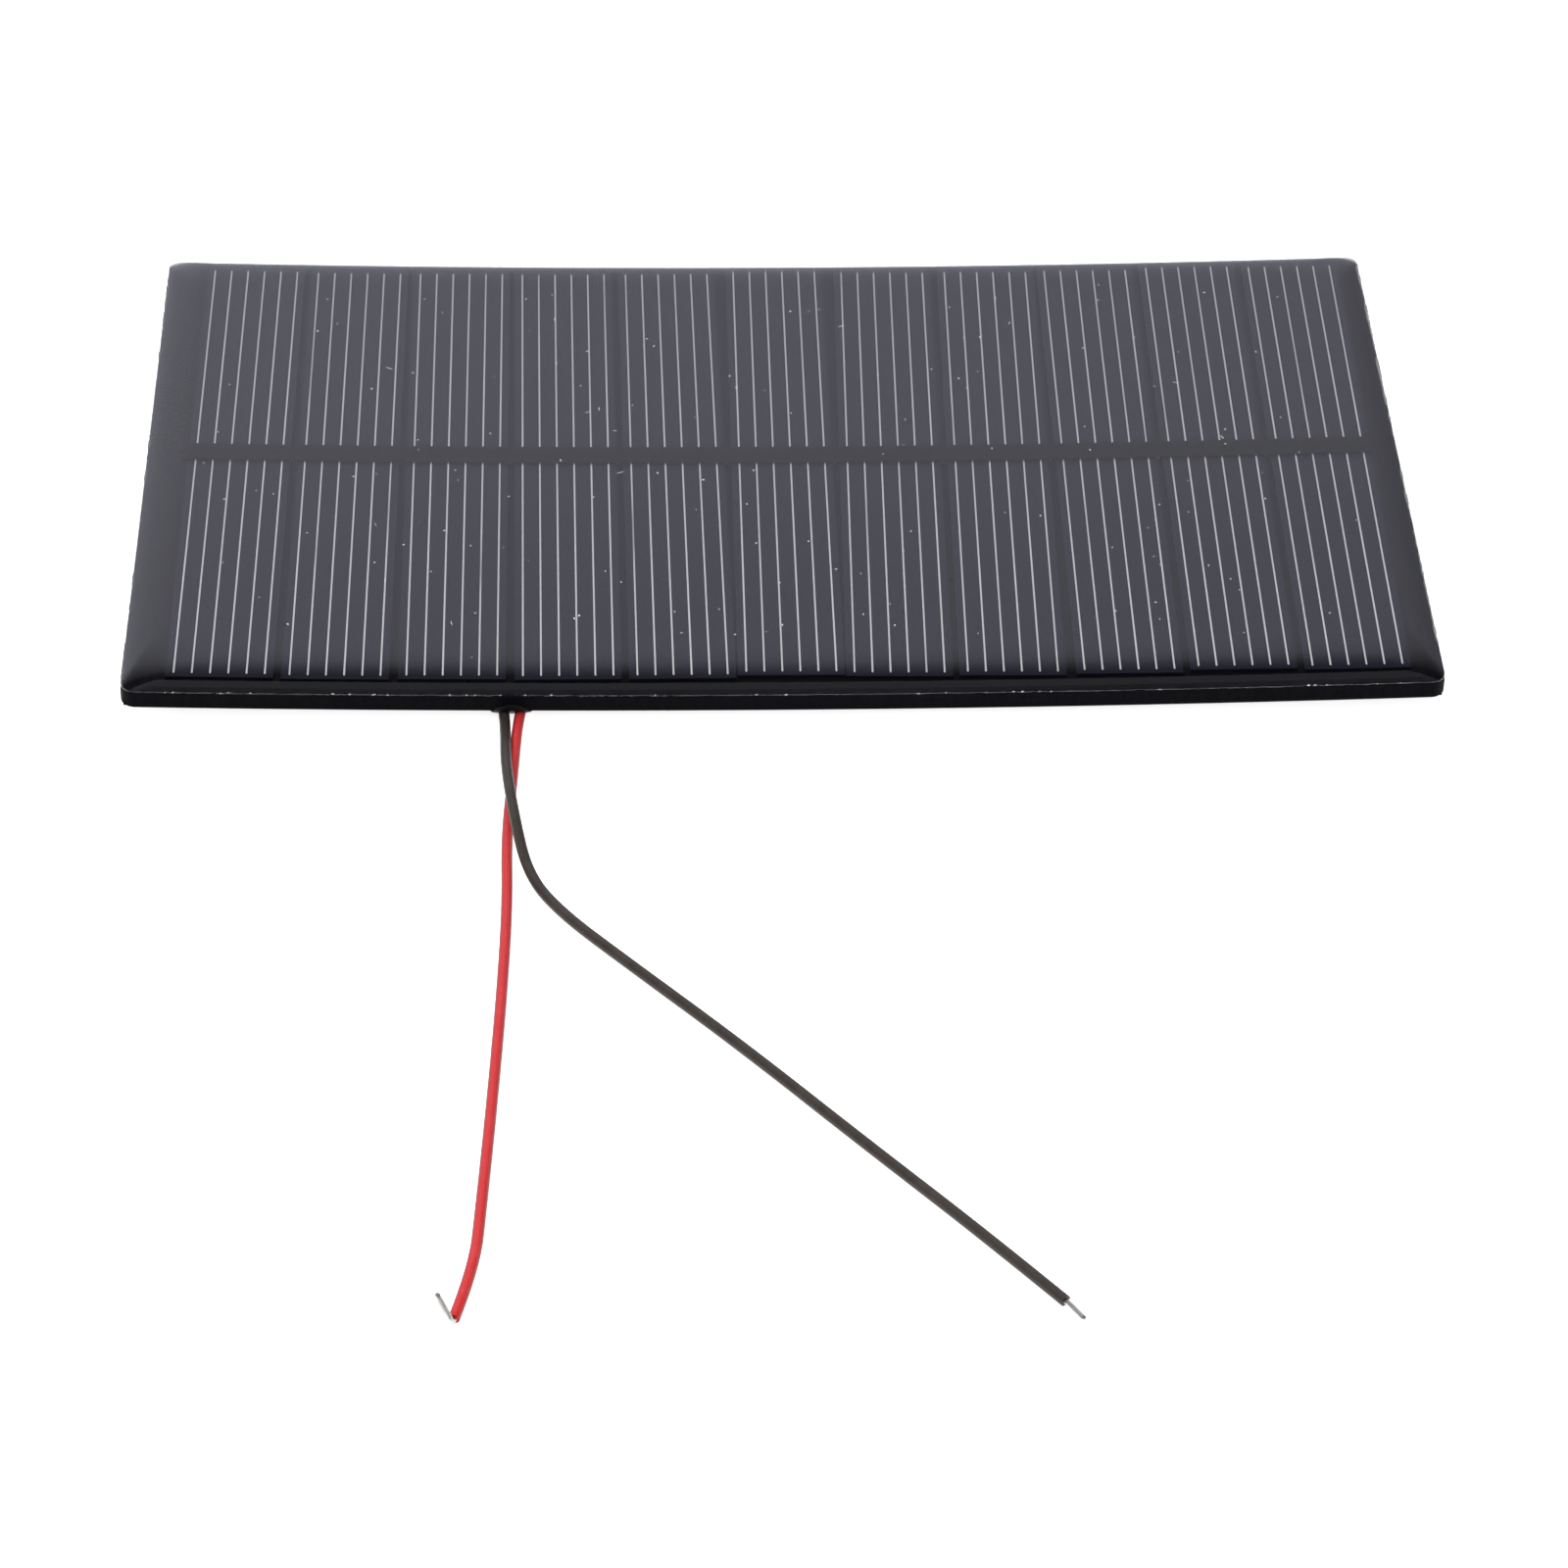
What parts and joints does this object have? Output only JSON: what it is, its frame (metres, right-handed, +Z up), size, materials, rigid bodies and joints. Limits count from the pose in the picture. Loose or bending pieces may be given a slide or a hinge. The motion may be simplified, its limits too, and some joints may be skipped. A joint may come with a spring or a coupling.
{
  "type": "potted mini solar panel",
  "caption": "Small stiff solar panel of series cell strips on a black board under clear resin, with a red and a black bare-ended lead.",
  "frame": {"origin": "on the surface the panel lies on, under the centre of the panel, which stands on its solder joints", "axes": "+X along the panel, +Z up out of the lit face, -Y towards the edge the two leads leave by"},
  "size_m": [0.11, 0.1262, 0.0046],
  "materials": {
    "board": "matt black glass-fibre circuit board",
    "lacquer": "semi-gloss black solder resist",
    "copper": "etched copper, tinned where the resist is open",
    "film": "dark bonding film",
    "cover": "matt black strip",
    "resin": "clear glossy potting resin",
    "solder": "bright solder",
    "black_sheath": "satin soft plastic",
    "red_sheath": "satin soft plastic",
    "tinned": "tinned copper strands",
    "glue": "black glue, smooth skin",
    "silicon": "dark blue-grey coated silicon",
    "silver": "printed silver, matt",
    "ribbon": "tinned flat copper ribbon"
  },
  "bodies": {
    "root": {"backing_board": "board", "rear_lacquer": "lacquer", "rear_track_negative": "copper", "rear_track_positive": "copper", "bonding_film": "film", "busbar_cover_strip": "cover", "clear_potting": "resin", "slot_solder_negative": "solder", "slot_solder_positive": "solder", "solder_joint_negative": "solder", "solder_joint_positive": "solder", "black_lead_sheath": "black_sheath", "red_lead_sheath": "red_sheath", "black_lead_core": "tinned", "red_lead_core": "tinned", "lead_glue_dab": "glue", "cell_01": "silicon", "cell_02": "silicon", "cell_03": "silicon", "cell_04": "silicon", "cell_05": "silicon", "cell_06": "silicon", "cell_07": "silicon", "cell_08": "silicon", "cell_09": "silicon", "cell_10": "silicon", "cell_11": "silicon", "front_grid_01": "silver", "front_grid_02": "silver", "front_grid_03": "silver", "front_grid_04": "silver", "front_grid_05": "silver", "front_grid_06": "silver", "front_grid_07": "silver", "front_grid_08": "silver", "front_grid_09": "silver", "front_grid_10": "silver", "front_grid_11": "silver", "link_ribbon_01": "ribbon", "link_ribbon_02": "ribbon", "link_ribbon_03": "ribbon", "link_ribbon_04": "ribbon", "link_ribbon_05": "ribbon", "link_ribbon_06": "ribbon", "link_ribbon_07": "ribbon", "link_ribbon_08": "ribbon", "link_ribbon_09": "ribbon", "link_ribbon_10": "ribbon", "end_ribbon_negative": "ribbon", "end_ribbon_positive": "ribbon"}
  },
  "joints": []
}
